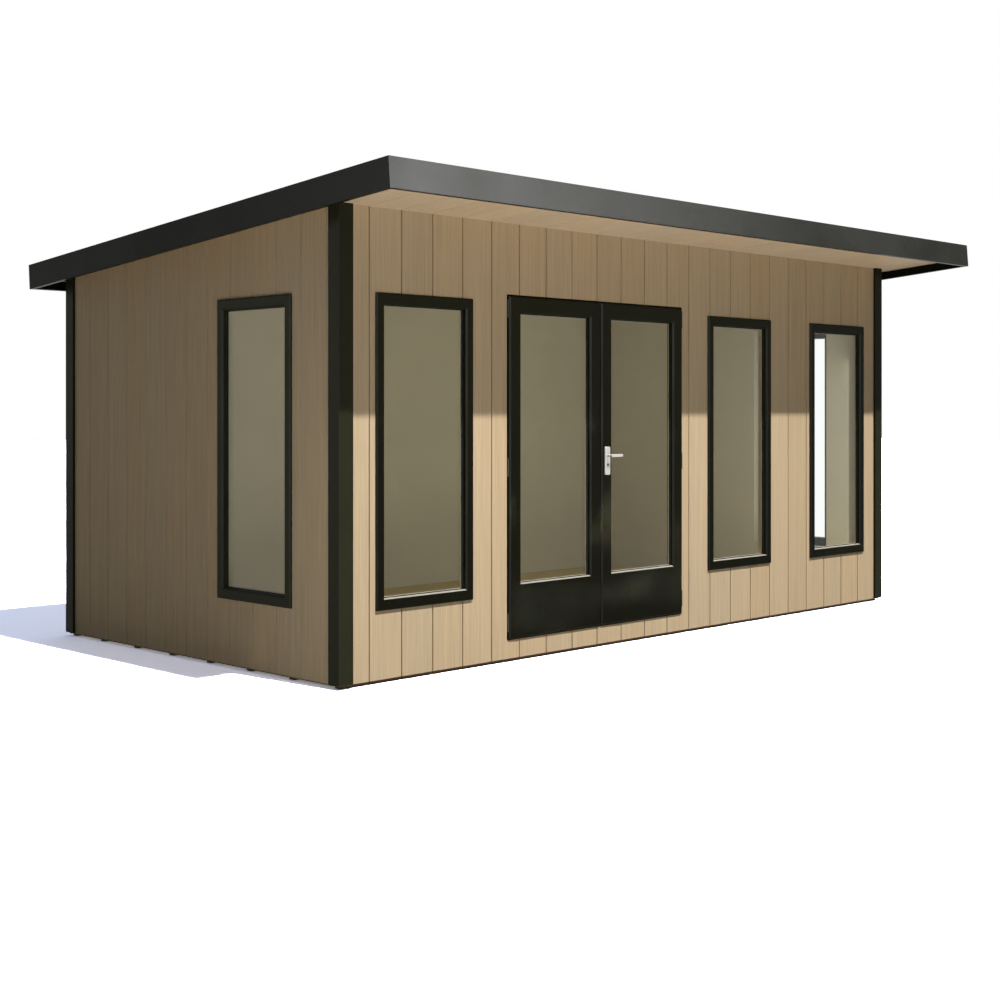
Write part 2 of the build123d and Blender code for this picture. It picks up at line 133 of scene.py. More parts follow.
class PodFinishes(bpy.types.PropertyGroup):
    """Colours of the finishes."""

    cladding: colour("Cladding", "Stained boards of the walls", 194, 174, 144)
    soffit: colour("Soffit", "Boards under the roof's edge", 203, 183, 156)
    trim: colour("Trim", "Paint of the frames, leaves and corner posts", 40, 41, 30)
    fascia: colour("Fascia", "Coating of the fascias", 24, 24, 16)
    lining: colour("Lining", "Paint of the inner walls and ceiling", 203, 196, 170)
    floor: colour("Floor", "Oiled boards of the floor", 196, 168, 78)
    bearers: colour("Bearers", "Treated timber under the floor", 110, 84, 56)
    glass: colour("Glass", "Tint of the sealed units", 253, 255, 254)
    metal: colour("Metal", "Satin handle and lever", 206, 205, 200)
    # Pale strip under the front panes: partly its own paint, partly a painted highlight.
    bead: colour("Bead", "Paint of the sills under the front panes", 168, 164, 156)
    inner_bead: colour("Inner bead", "Paint of the beads behind the panes", 196, 194, 172)
    hinge: colour("Hinge", "Dark coating of the hinges", 60, 60, 50)
    membrane: colour("Membrane", "Sheet on the roof", 58, 60, 61)
    rubber: colour("Rubber", "Seals round the panes and between the leaves", 20, 20, 18)


class PodLight(bpy.types.PropertyGroup):
    """Strengths of the lights."""

    sun: FloatProperty(name="Sun", description="Strength of the sun", default=4.7, min=0)
    sky: FloatProperty(name="Sky", description="Strength of the even light of the sky", default=0.31, min=0)
    fill: FloatProperty(name="Fill", description="Power of the low soft light before the front", default=200, min=0)
    under: FloatProperty(name="Under", description="Power of the soft light under the overhang", default=44, min=0)
    side: FloatProperty(name="Side", description="Power of the soft light by the front left corner", default=36, min=0)
    room: FloatProperty(name="Room", description="Power of the soft light in the room", default=14.5, min=0)
    corner: FloatProperty(name="Corner", description="Power of the light on the right wall, inside", default=0.6, min=0)
    sheen: FloatProperty(name="Sheen", description="Strength of the raking light on the fascias", default=9.8, min=0)
    edge: FloatProperty(name="Edge", description="Strength of the light that picks out edges", default=11, min=0)
    rake: FloatProperty(name="Rake", description="Strength of the raking light on the left side", default=1.5, min=0)
    shade: FloatProperty(name="Shade", description="How white the floor's shadow stays", default=0.2, min=0, max=1)


# Meshes

def add_mesh(name, rings):
    """An object of closed prisms; each is a ring of points and the vector that it runs along."""
    points, faces = [], []
    for ring, run in rings:
        count, start = len(ring), len(points)
        points += [Vector(point) for point in ring] + [Vector(point) + run for point in ring]
        faces.append([start + number for number in range(count)])
        faces.append([start + count + number for number in reversed(range(count))])
        for number in range(count):
            after = (number + 1) % count
            faces.append([start + number, start + count + number, start + count + after, start + after])
    mesh = bpy.data.meshes.new(name)
    mesh.from_pydata(points, [], faces)
    turn_outwards(mesh)
    return add_object(name, mesh)


def turn_outwards(mesh):
    shape = bmesh.new()
    shape.from_mesh(mesh)
    bmesh.ops.recalc_face_normals(shape, faces=shape.faces)
    shape.to_mesh(mesh)
    shape.free()


def add_object(name, mesh):
    made = bpy.data.objects.new(name, mesh)
    bpy.context.scene.collection.objects.link(made)
    return made


def remove(*objects):
    for spare in objects:
        bpy.data.objects.remove(spare)


def block(low, high):
    """Ring and run of an upright box."""
    ring = [(low[0], low[1], low[2]), (high[0], low[1], low[2]), (high[0], high[1], low[2]), (low[0], high[1], low[2])]
    return ring, Z * (high[2] - low[2])


def section(outline, start, end):
    """Ring and run along X of an outline of (y, z) pairs."""
    return [(start, y, z) for y, z in outline], X * (end - start)


def groove(place, across, inward, run, mouth, slot, depth):
    """Ring and run of the cutter of one board joint: a V that ends in a narrow slot."""
    proud = 0.001
    half, deep = mouth / 2, (mouth - slot) / 2
    profile = [
        (-half - proud, -proud), (-slot / 2, deep), (-slot / 2, depth),
        (slot / 2, depth), (slot / 2, deep), (half + proud, -proud),
    ]
    return [place + across * u + inward * v for u, v in profile], run


def joint_count(first, pitch, end):
    """How many joints fit between the first and the end."""
    return int((end - first) / pitch) + 1


# Geometry Nodes

def socket(tree, name, kind, default=None, direction="INPUT"):
    made = tree.interface.new_socket(name, in_out=direction, socket_type=kind)
    if default is not None:
        made.default_value = default


class Graph:
    """Adds linked nodes to one tree."""

    def __init__(self, tree):
        self.tree = tree

    def node(self, kind, inputs=None, **settings):
        made = self.tree.nodes.new(kind)
        for name, value in settings.items():
            setattr(made, name, value)
        for key, value in (inputs or {}).items():
            self.feed(made.inputs[key], value)
        return made

    def feed(self, target, value):
        if isinstance(value, bpy.types.NodeSocket):
            self.tree.links.new(value, target)
        else:
            target.default_value = value

    def math(self, operation, first, second=0.0, third=0.0):
        return self.node("ShaderNodeMath", {0: first, 1: second, 2: third}, operation=operation).outputs[0]

    def rescale(self, value, low, high, new_low, new_high):
        inputs = {"Value": value, 1: low, 2: high, 3: new_low, 4: new_high}
        return self.node("ShaderNodeMapRange", inputs).outputs[0]

    def mix(self, share, first, second, blend="MIX"):
        inputs = {0: share, 6: first, 7: second}
        return self.node("ShaderNodeMix", inputs, data_type="RGBA", blend_type=blend).outputs[2]

    def noise(self, vector, scale, detail=2.0, roughness=0.5):
        inputs = {"Vector": vector, "Scale": scale, "Detail": detail, "Roughness": roughness}
        return self.node("ShaderNodeTexNoise", inputs).outputs[0]


def shape_tree(name, sockets):
    """A tree that takes and gives a shape, with its named inputs; returns graph, input node and output node."""
    tree = bpy.data.node_groups.new(name, "GeometryNodeTree")
    socket(tree, "Shape", "NodeSocketGeometry")
    for title, kind, default in sockets:
        socket(tree, title, kind, default)
    socket(tree, "Finish", "NodeSocketMaterial")
    socket(tree, "Shape", "NodeSocketGeometry", direction="OUTPUT")
    return Graph(tree), tree.nodes.new("NodeGroupInput").outputs, tree.nodes.new("NodeGroupOutput")


def close_tree(graph, shape, given, result):
    """Ends a tree in Realize Instances and Set Material."""
    real = graph.node("GeometryNodeRealizeInstances", {"Geometry": shape})
    done = graph.node("GeometryNodeSetMaterial", {"Geometry": real.outputs[0], "Material": given["Finish"]})
    graph.feed(result.inputs[0], done.outputs[0])
    return graph.tree


def boards_tree():
    """Cuts openings out of a slab, and then a row of joints."""
    graph, given, result = shape_tree("Boards in a slab", [
        ("Openings", "NodeSocketObject", None),
        ("Groove", "NodeSocketObject", None),
        ("Joints", "NodeSocketInt", 1),
        ("Step", "NodeSocketVector", (0.2, 0, 0)),
    ])
    opened = graph.node("GeometryNodeObjectInfo", {"Object": given["Openings"]}).outputs["Geometry"]
    cutter = graph.node("GeometryNodeObjectInfo", {"Object": given["Groove"]}).outputs["Geometry"]
    slab = graph.node(
        "GeometryNodeMeshBoolean", {"Mesh 1": given["Shape"], "Mesh 2": opened},
        operation="DIFFERENCE", solver="MANIFOLD",
    )
    row = graph.node("GeometryNodeMeshLine", {"Count": given["Joints"], "Offset": given["Step"]}, mode="OFFSET")
    cutters = graph.node("GeometryNodeInstanceOnPoints", {"Points": row.outputs[0], "Instance": cutter})
    solid = graph.node("GeometryNodeRealizeInstances", {"Geometry": cutters.outputs[0]})
    jointed = graph.node(
        "GeometryNodeMeshBoolean", {"Mesh 1": slab.outputs[0], "Mesh 2": solid.outputs[0]},
        operation="DIFFERENCE", solver="MANIFOLD",
    )
    return close_tree(graph, jointed.outputs[0], given, result)


def copies_tree():
    """Puts a copy of one shape on each point."""
    graph, given, result = shape_tree("Copies on points", [
        ("Copy", "NodeSocketObject", None),
    ])
    copy = graph.node("GeometryNodeObjectInfo", {"Object": given["Copy"]}).outputs["Geometry"]
    placed = graph.node("GeometryNodeInstanceOnPoints", {"Points": given["Shape"], "Instance": copy})
    return close_tree(graph, placed.outputs[0], given, result)


def row_tree():
    """Repeats one shape in a row."""
    graph, given, result = shape_tree("Row of strips", [
        ("Count", "NodeSocketInt", 2),
        ("Step", "NodeSocketVector", (1, 0, 0)),
    ])
    row = graph.node("GeometryNodeMeshLine", {"Count": given["Count"], "Offset": given["Step"]}, mode="OFFSET")
    placed = graph.node("GeometryNodeInstanceOnPoints", {"Points": row.outputs[0], "Instance": given["Shape"]})
    return close_tree(graph, placed.outputs[0], given, result)


def seal_tree():
    """A round seal along a rectangle in the XY plane."""
    graph, given, result = shape_tree("Seal round a pane", [
        ("Width", "NodeSocketFloat", 0.6),
        ("Height", "NodeSocketFloat", 1.6),
        ("Radius", "NodeSocketFloat", 0.003),
    ])
    path = graph.node("GeometryNodeCurvePrimitiveQuadrilateral", {"Width": given["Width"], "Height": given["Height"]})
    bend = graph.math("MULTIPLY", given["Radius"], 2.0)
    eased = graph.node(
        "GeometryNodeFilletCurve", {"Curve": path.outputs[0], "Count": 3, "Radius": bend}, mode="POLY"
    )
    profile = graph.node("GeometryNodeCurvePrimitiveCircle", {"Resolution": 8, "Radius": given["Radius"]})
    tube = graph.node("GeometryNodeCurveToMesh", {"Curve": eased.outputs[0], "Profile Curve": profile.outputs[0]})
    return close_tree(graph, tube.outputs[0], given, result)


def grow(base, tree, values):
    """Runs a tree on an object and leaves the result in it as a plain mesh."""
    modifier = base.modifiers.new(tree.name, "NODES")
    modifier.node_group = tree
    ids = {item.name: item.identifier for item in tree.interface.items_tree if item.in_out == "INPUT"}
    for name, value in values.items():
        modifier[ids[name]] = value
    bpy.context.view_layer.update()
    evaluated = base.evaluated_get(bpy.context.evaluated_depsgraph_get())
    mesh = bpy.data.meshes.new_from_object(evaluated)
    base.modifiers.remove(modifier)
    mesh.name = base.name
    base.data = mesh
    if not mesh.polygons:
        raise RuntimeError(f"{base.name} came out empty")
    return base


# Shader groups

def finish_group(name, inputs, outputs):
    """A shader group with float and vector sockets."""
    tree = bpy.data.node_groups.new(name, "ShaderNodeTree")
    for title, kind, default in inputs:
        socket(tree, title, kind, default)
    for title in outputs:
        socket(tree, title, "NodeSocketFloat", direction="OUTPUT")
    graph = Graph(tree)
    return graph, tree.nodes.new("NodeGroupInput").outputs, tree.nodes.new("NodeGroupOutput")


def board_grain_group():
    """Tone of each board, and the streaks along it. Place holds across, along and depth."""
    graph, given, result = finish_group("Board grain", [
        ("Place", "NodeSocketVector", (0, 0, 0)),
        ("First", "NodeSocketFloat", 0.0),
        ("Pitch", "NodeSocketFloat", 0.2),
        ("Seed", "NodeSocketFloat", 0.0),
    ], ["Tone", "Warmth", "Streak"])
    place = graph.node("ShaderNodeSeparateXYZ", {0: given["Place"]}).outputs
    board = graph.math("FLOOR", graph.math("DIVIDE", graph.math("SUBTRACT", place[0], given["First"]), given["Pitch"]))
    number = graph.math("ADD", board, given["Seed"])
    draw = graph.node("ShaderNodeTexWhiteNoise", {"W": number}, noise_dimensions="1D")
    colours = graph.node("ShaderNodeSeparateColor", {0: draw.outputs["Color"]}).outputs
    shift = graph.math("MULTIPLY", draw.outputs["Value"], 17.0)

    def stretched(across, along, detail, roughness):
        vector = graph.node("ShaderNodeCombineXYZ", {
            0: graph.math("MULTIPLY_ADD", place[0], across, shift),
            1: graph.math("MULTIPLY_ADD", place[1], along, shift),
            2: graph.math("MULTIPLY", place[2], across),
        })
        return graph.noise(vector.outputs[0], 1.0, detail, roughness)

    broad = stretched(46, 0.8, 3.0, 0.55)
    fine = stretched(330, 2.6, 2.0, 0.6)
    streak = graph.math("ADD", graph.math("MULTIPLY", broad, 0.3), graph.math("MULTIPLY", fine, 0.7))
    graph.feed(result.inputs["Tone"], draw.outputs["Value"])
    graph.feed(result.inputs["Warmth"], colours[1])
    graph.feed(result.inputs["Streak"], streak)
    return graph.tree


def coat_group():
    """Soft mottle, fine texture and dust of a paint, coating or sheet."""
    graph, given, result = finish_group("Coat", [
        ("Place", "NodeSocketVector", (0, 0, 0)),
        ("Mottle Size", "NodeSocketFloat", 0.25),
        ("Texture Size", "NodeSocketFloat", 0.002),
    ], ["Mottle", "Texture", "Dust"])
    broad = graph.math("DIVIDE", 1.0, given["Mottle Size"])
    fine = graph.math("DIVIDE", 1.0, given["Texture Size"])
    normal = graph.node("ShaderNodeNewGeometry").outputs["Normal"]
    upward = graph.node("ShaderNodeSeparateXYZ", {0: normal}).outputs[2]
    settled = graph.rescale(upward, 0.3, 1.0, 0.0, 1.0)
    patches = graph.noise(given["Place"], graph.math("MULTIPLY", broad, 3.0), 3.0)
    graph.feed(result.inputs["Mottle"], graph.noise(given["Place"], broad, 3.0, 0.6))
    graph.feed(result.inputs["Texture"], graph.noise(given["Place"], fine, 1.0))
    graph.feed(result.inputs["Dust"], graph.math("MULTIPLY", settled, patches))
    return graph.tree


# Materials

def start_material(name):
    made = bpy.data.materials.new(f"pod_{name}")
    made.use_nodes = True
    graph = Graph(made.node_tree)
    surface = made.node_tree.nodes["Principled BSDF"]
    place = graph.node("ShaderNodeTexCoord").outputs["Object"]
    return made, graph, surface, place


def use_group(graph, name, inputs):
    made = graph.node("ShaderNodeGroup", node_tree=bpy.data.node_groups[name])
    for key, value in inputs.items():
        graph.feed(made.inputs[key], value)
    return made.outputs


def bump(graph, surface, height, strength, distance):
    relief = graph.node("ShaderNodeBump", {"Strength": strength, "Distance": distance, "Height": height})
    graph.feed(surface.inputs["Normal"], relief.outputs[0])


def board_material(name, tint, across, along, first, pitch, seed, contrast=0.3, variety=0.1, roughness=0.62,
                   low_darkening=0.0, shaded_foot_height=0.0, gloss=0.12):
    """Stained or oiled boards; across and along are the axes, 0 to 2, that the boards lie on."""
    made, graph, surface, place = start_material(name)
    axes = graph.node("ShaderNodeSeparateXYZ", {0: place}).outputs
    depth = 3 - across - along
    laid = graph.node("ShaderNodeCombineXYZ", {0: axes[across], 1: axes[along], 2: axes[depth]}).outputs[0]
    grain = use_group(graph, "Board grain", {"Place": laid, "First": first, "Pitch": pitch, "Seed": seed})
    light = graph.rescale(grain["Streak"], 0.25, 0.75, 1 - contrast, 1 + contrast)
    light = graph.math("MULTIPLY", light, graph.rescale(grain["Tone"], 0, 1, 1 - variety, 1 + variety))
    if low_darkening:
        # Darker towards the bottom of the wall.
        light = graph.math("MULTIPLY", light, graph.rescale(axes[2], 0.0, 1.1, 1 - low_darkening, 1.0))
        # Painted shade: the drip cut along the boards' foot is darkened to a quarter, standing in for the shade under
        # the boards.
        foot = graph.rescale(axes[2], board_foot + shaded_foot_height - 0.001, board_foot + shaded_foot_height, 0.25, 1.0)
        light = graph.math("MULTIPLY", light, foot)
    warm = tuple(value * share for value, share in zip(tint, (1.025, 0.995, 0.965))) + (1.0,)
    cool = tuple(value * share for value, share in zip(tint, (0.98, 1.0, 1.03))) + (1.0,)
    tone = graph.mix(grain["Warmth"], warm, cool)
    shade = graph.node("ShaderNodeVectorMath", {0: tone, "Scale": light}, operation="SCALE").outputs[0]
    graph.feed(surface.inputs["Base Color"], shade)
    graph.feed(surface.inputs["Roughness"], graph.rescale(grain["Streak"], 0.2, 0.8, roughness + 0.08, roughness - 0.08))
    surface.inputs["Specular IOR Level"].default_value = gloss
    bump(graph, surface, grain["Streak"], 0.35, 0.0008)
    return made


def coat_material(name, tint, roughness, gloss=0.25, metallic=0.0, mottle=0.25, texture=0.002, spread=0.08,
                  relief=0.08, dust=0.0, lock_shade=None):
    """A paint, coating, rubber, sheet or satin metal; the last argument gives the x, z and radius of a round spot on
    the key cylinder that is painted dark as shade.
    """
    made, graph, surface, place = start_material(name)
    coat = use_group(graph, "Coat", {"Place": place, "Mottle Size": mottle, "Texture Size": texture})
    light = graph.rescale(coat["Mottle"], 0.25, 0.75, 1 - spread, 1 + spread)
    if lock_shade:
        lock_x, lock_z, radius = lock_shade
        axes = graph.node("ShaderNodeSeparateXYZ", {0: place}).outputs
        off = graph.node("ShaderNodeCombineXYZ", {
            0: graph.math("SUBTRACT", axes[0], lock_x), 1: graph.math("SUBTRACT", axes[2], lock_z),
        }).outputs[0]
        away = graph.node("ShaderNodeVectorMath", {0: off}, operation="LENGTH").outputs["Value"]
        # Painted shade: the spot round the key cylinder is darkened to about an eighth.
        light = graph.math("MULTIPLY", light, graph.rescale(away, radius * 0.9, radius, 0.12, 1.0))
    shade = graph.node("ShaderNodeVectorMath", {0: tuple(tint)[:3], "Scale": light}, operation="SCALE").outputs[0]
    if dust:
        shade = graph.mix(graph.math("MULTIPLY", coat["Dust"], dust), shade, linear(150, 144, 128))
    graph.feed(surface.inputs["Base Color"], shade)
    graph.feed(surface.inputs["Roughness"], graph.rescale(coat["Mottle"], 0.25, 0.75, roughness - 0.05, roughness + 0.05))
    surface.inputs["Metallic"].default_value = metallic
    surface.inputs["Specular IOR Level"].default_value = gloss
    bump(graph, surface, coat["Texture"], relief, texture * 0.3)
    return made


def glass_material(name, tint):
    """A clear sealed unit that lets the lamps' light through."""
    made, graph, surface, place = start_material(name)
    coat = use_group(graph, "Coat", {"Place": place, "Mottle Size": 0.5, "Texture Size": 0.4})
    surface.inputs["Base Color"].default_value = tint
    graph.feed(surface.inputs["Roughness"], graph.rescale(coat["Mottle"], 0.3, 0.7, 0.0, 0.03))
    surface.inputs["Transmission Weight"].default_value = 1.0
    surface.inputs["IOR"].default_value = 1.22
    bump(graph, surface, coat["Texture"], 0.02, 0.01)
    path = graph.node("ShaderNodeLightPath").outputs
    passing = graph.node("ShaderNodeBsdfTransparent", {"Color": (1, 1, 1, 1)})
    share = graph.math("MAXIMUM", path["Is Shadow Ray"], path["Is Diffuse Ray"])
    mixed = graph.node("ShaderNodeMixShader", {0: share, 1: surface.outputs[0], 2: passing.outputs[0]})
    output = made.node_tree.nodes["Material Output"]
    graph.feed(output.inputs["Surface"], mixed.outputs[0])
    return made


def make_materials(scene):
    """All finishes, by the names of the record's slots where one fits."""
    board_grain_group()
    coat_group()
    sizes, tints = scene.pod_sizes, scene.pod_finishes
    pitch = sizes.board_pitch
    front_first = left_x + sizes.front_first
    side_first = front_y + sizes.side_first
    # The walls' boards get darker towards the bottom, and painted shade on the drip cut at their foot.
    walls = {"contrast": 0.2, "variety": 0.03, "low_darkening": 0.06, "shaded_foot_height": sizes.drip}
    board_material("cladding_front", tints.cladding[:3], 0, 2, front_first, pitch, 3.0, **walls)
    board_material("cladding_side", tints.cladding[:3], 1, 2, side_first, pitch, 41.0, **walls)
    board_material("soffit_boards", tints.soffit[:3], 0, 1, left_x + sizes.soffit_first, pitch, 87.0,
                   contrast=0.16, variety=0.04)
    board_material("floor_boards", tints.floor[:3], 1, 0, deck_low.y, sizes.floor_pitch, 120.0,
                   contrast=0.3, variety=0.12, roughness=0.42, gloss=0.5)
    board_material("bearers", tints.bearers[:3], 1, 0, deck_low.y, 0.4, 9.0, contrast=0.4, roughness=0.85)
    coat_material("dark_trim", tints.trim, 0.48, gloss=0.02, dust=0.02)
    coat_material("dark_fascia", tints.fascia, 0.27, gloss=0.02, mottle=0.6, dust=0.05)
    coat_material("lining_boards", tints.lining, 0.8, gloss=0.2, mottle=0.5, spread=0.04, texture=0.003)
    plates_low, plates_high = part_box("handle_plates")
    lever_low, lever_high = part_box("door_lever")
    # The key cylinder on the handle plate gets a spot of painted shade.
    lock_shade_spot = ((plates_low.x + plates_high.x) / 2, (lever_low.z + lever_high.z) / 2 - 0.056, 0.0087)
    coat_material("handle_metal", tints.metal, 0.4, metallic=0.5, mottle=0.03, texture=0.0008, spread=0.05,
                  lock_shade=lock_shade_spot)
    # Pale strip under the front panes, partly a painted highlight.
    coat_material("bead", tints.bead, 0.5, gloss=0.3, mottle=0.1, texture=0.001, spread=0.05)
    coat_material("inner_bead", tints.inner_bead, 0.6, gloss=0.3, mottle=0.1, texture=0.001, spread=0.05)
    coat_material("hinge_metal", tints.hinge, 0.5, gloss=0.4, mottle=0.02, texture=0.0008, dust=0.1)
    coat_material("roof_membrane", tints.membrane, 0.75, gloss=0.3, mottle=0.7, texture=0.004, spread=0.06,
                  relief=0.3, dust=0.18)
    coat_material("rubber", tints.rubber, 0.7, gloss=0.3, mottle=0.05, texture=0.001)
    glass_material("glazing", tints.glass)


def finish(name):
    """A finish by name; the first call makes them all."""
    if f"pod_{name}" not in bpy.data.materials:
        make_materials(bpy.context.scene)
    return bpy.data.materials[f"pod_{name}"]


def dress(piece, name):
    """Gives one finish to a whole piece."""
    piece.data.materials.clear()
    piece.data.materials.append(finish(name))
    for slot in piece.material_slots:
        slot.material = finish(name)


def hand_over(piece, body, slot, *replaced):
    """Puts a finished piece on its body and hides the nodes that it stands for; slot is not used."""
    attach(piece, body)
    if replaced:
        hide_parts(*replaced)


# Walls

def window_hole(name, reach):
    """Ring and run of the hole for one window, longer than the wall by reach on both faces."""
    low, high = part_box(f"{name}_window_frame")
    if name in FRONT_WINDOWS:
        return block((low.x, front_y - reach, low.z), (high.x, front_y + wall_t + reach, high.z))
    wall_x = left_x if name == "left" else right_x
    return block((wall_x - wall_t - reach, low.y, low.z), (wall_x + wall_t + reach, high.y, high.z))


def doorway_hole(reach):
    head_low, head_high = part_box("front_wall_over_door")
    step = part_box("front_wall_under_door")[1].z
    return block((head_low.x, front_y - reach, step), (head_high.x, front_y + wall_t + reach, head_low.z))


def clad(name, slab, holes, cutter, count, step, material, tree, slot, replaced):
    """One set of boards: a slab with its openings and joints cut."""
    piece = add_mesh(name, [slab])
    openings = add_mesh(f"{name}.openings", holes)
    groove_cutter = add_mesh(f"{name}.groove", [cutter])
    grow(piece, tree, {
        "Openings": openings, "Groove": groove_cutter, "Joints": count, "Step": step, "Finish": finish(material),
    })
    remove(openings, groove_cutter)
    hand_over(piece, "root", slot, *replaced)


class POD_OT_walls(bpy.types.Operator):
    """Clad the four walls in boards and line them inside"""

    bl_idname = "pod.walls"
    bl_label = "Walls"

    def execute(self, context):
        sizes = context.scene.pod_sizes
        tree = boards_tree()
        reach = 0.03
        away = [block((0, 0, -3), (0.1, 0.1, -2.9))]
        front_holes = [window_hole(name, reach) for name in FRONT_WINDOWS] + [doorway_hole(reach)]
        joint = (sizes.joint_mouth, sizes.joint_slot, sizes.joint_depth)
        tall = Z * (front_top + reach)

        ends = {"front": (front_y, 1, front_holes, FRONT_WALL), "back": (back_y, -1, away, ("back_wall",))}
        for side, (face_y, inward, holes, replaced) in ends.items():
            first = left_x + sizes.front_first
            count = joint_count(first, sizes.board_pitch, right_x)
            cutter = groove(Vector((first, face_y, 0)), X, Y * inward, tall, *joint)
            boards = self.upright(face_y, face_y + inward * board_t, board_foot, sizes.drip)
            clad(f"{side}_wall_boards", section(boards, left_x, right_x), holes, cutter, count,
                 X * sizes.board_pitch, "cladding_front", tree, "cladding", replaced)
            lining = self.upright(face_y + inward * board_t, face_y + inward * wall_t, deck_high.z)
            far_groove = groove(Vector((0, 0, -3)), X, Y, Z * 0.1, *joint)
            clad(f"{side}_wall_lining", section(lining, left_x + board_t, right_x - board_t), holes, far_groove, 1, X,
                 "lining_boards", tree, "lining_boards", [node for node in replaced if "under" not in node])

        start, end = front_y + board_t, back_y - board_t
        for side, face_x, inward in (("left", left_x, 1), ("right", right_x, -1)):
            first = front_y + sizes.side_first
            count = joint_count(first, sizes.board_pitch, end)
            hole = [window_hole(side, reach)]
            cutter = groove(Vector((face_x, first, 0)), Y, X * inward, tall, *joint)
            clad(f"{side}_wall_boards", section(self.upright(start, end, board_foot), face_x, face_x + inward * board_t),
                 hole, cutter, count, Y * sizes.board_pitch, "cladding_side", tree, "cladding", (f"{side}_wall",))
            far_groove = groove(Vector((0, 0, -3)), X, Y, Z * 0.1, *joint)
            lining = self.upright(front_y + wall_t, back_y - wall_t, deck_high.z)
            clad(f"{side}_wall_lining", section(lining, face_x + inward * board_t, face_x + inward * wall_t),
                 hole, far_groove, 1, X, "lining_boards", tree, "lining_boards", (f"{side}_wall",))
        return {"FINISHED"}

    @staticmethod
    def upright(y_start, y_end, foot, drip=0.0):
        """Outline, as (y, z) pairs, of wall between two lines under the sloping roof; drip cuts its front foot."""
        low = [(y_start, foot + drip), (y_start + math.copysign(drip, y_end - y_start), foot)] if drip else [(y_start, foot)]
        return [*low, (y_end, foot), (y_end, wall_top(y_end)), (y_start, wall_top(y_start))]


class POD_OT_soffits(bpy.types.Operator):
    """Board the overhang under the roof on all four sides"""

    bl_idname = "pod.soffits"
    bl_label = "Soffits"

    def execute(self, context):
        sizes = context.scene.pod_sizes
        tree = boards_tree()
        low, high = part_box("front_soffit")
        rise = Vector((0, math.sin(roof_angle), math.cos(roof_angle)))
        under_front = low.z + roof_fall * (front_y - low.y)
        thickness = (high.z - under_front) / math.cos(roof_angle)
        back_low, back_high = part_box("back_soffit")
        side_low, side_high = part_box("side_soffits")
        side_width = left_x - side_low.x

        def under(y):
            return low.z + roof_fall * (front_y - y)

        def slice_of(start, end, square_start=False, square_end=False):
            """Outline of the boards from start to end; an end that meets a fascia is square to the slope."""
            lean = thickness * math.sin(roof_angle)
            top_start = start + lean * square_start
            upright = thickness / math.cos(roof_angle)
            return [
                (start, under(start)),
                (end - lean * square_end, under(end - lean * square_end)),
                (end, under(end) + upright),
                (top_start, under(top_start) + upright),
            ]

        spans = {
            "front_soffit": (slice_of(low.y, front_y, square_start=True), [(low.x, high.x)]),
            "back_soffit": (slice_of(back_y, back_high.y, square_end=True), [(low.x, high.x)]),
            "side_soffits": (slice_of(front_y, back_y), [(side_low.x, left_x), (right_x, side_high.x)]),
        }
        first = left_x + sizes.soffit_first
        first -= sizes.board_pitch * int((first - low.x) / sizes.board_pitch)
        count = joint_count(first, sizes.board_pitch, high.x)
        for node, (outline, widths) in spans.items():
            start = outline[0][0] - 0.01
            run = along_roof * (outline[1][0] + 0.02 - start)
            cutter = groove(Vector((first, start, under(start))), X, rise, run, sizes.soffit_mouth,
                            sizes.soffit_mouth / 2, sizes.soffit_depth)
            piece = add_mesh(f"{node}_boards", [section(outline, *width) for width in widths])
            openings = add_mesh(f"{node}.openings", [block((0, 0, -3), (0.1, 0.1, -2.9))])
            groove_cutter = add_mesh(f"{node}.groove", [cutter])
            grow(piece, tree, {
                "Openings": openings, "Groove": groove_cutter, "Joints": count, "Step": X * sizes.board_pitch,
                "Finish": finish("soffit_boards"),
            })
            remove(openings, groove_cutter)
            hand_over(piece, "root", "soffit_boards", node)
        return {"FINISHED"}


class POD_OT_floor(bpy.types.Operator):
    """Lay the floor's boards on the bearers"""

    bl_idname = "pod.floor"
    bl_label = "Floor"

    def execute(self, context):
        sizes = context.scene.pod_sizes
        first = deck_low.y + sizes.floor_pitch
        count = joint_count(first, sizes.floor_pitch, deck_high.y - sizes.floor_mouth)
        cutter = groove(Vector((deck_low.x - 0.01, first, deck_high.z)), Y, -Z, X * (deck_high.x - deck_low.x + 0.02),
                        sizes.floor_mouth, sizes.floor_mouth / 4, sizes.floor_mouth)
        clad("floor_deck_boards", block(deck_low, deck_high), [block((0, 0, -3), (0.1, 0.1, -2.9))], cutter, count,
             Y * sizes.floor_pitch, "floor_boards", boards_tree(), "floor_boards", ("floor_deck",))
        return {"FINISHED"}


class POD_OT_roof(bpy.types.Operator):
    """Lay the laps of the roof's sheet"""

    bl_idname = "pod.roof"
    bl_label = "Roof laps"

    def execute(self, context):
        sizes = context.scene.pod_sizes
        low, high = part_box("roof_covering")
        edge = 0.045
        start, end = low.y + edge, high.y - edge
        rise = Vector((0, math.sin(roof_angle), math.cos(roof_angle)))
        count = int((high.x - low.x - edge * 2) / sizes.lap_pitch)
        first = -(count - 1) / 2 * sizes.lap_pitch
        corner = Vector((first - sizes.lap_width / 2, start, self.covering_top(start)))
        ring = [
            corner, corner + X * sizes.lap_width,
            corner + X * sizes.lap_width + rise * sizes.lap_height, corner + rise * sizes.lap_height,
        ]
        piece = add_mesh("roof_laps", [(ring, along_roof * (end - start))])
        grow(piece, row_tree(), {"Count": count, "Step": X * sizes.lap_pitch, "Finish": finish("roof_membrane")})
        hand_over(piece, "root", "roof_membrane")
        return {"FINISHED"}

    @staticmethod
    def covering_top(y):
        """Height of the roof sheet's top at y, from the highest point of the covering's node."""
        points = [vertex.co for vertex in NODES["roof_covering"].data.vertices]
        peak = max(points, key=lambda point: point.z)
        return peak.z - roof_fall * (y - peak.y)


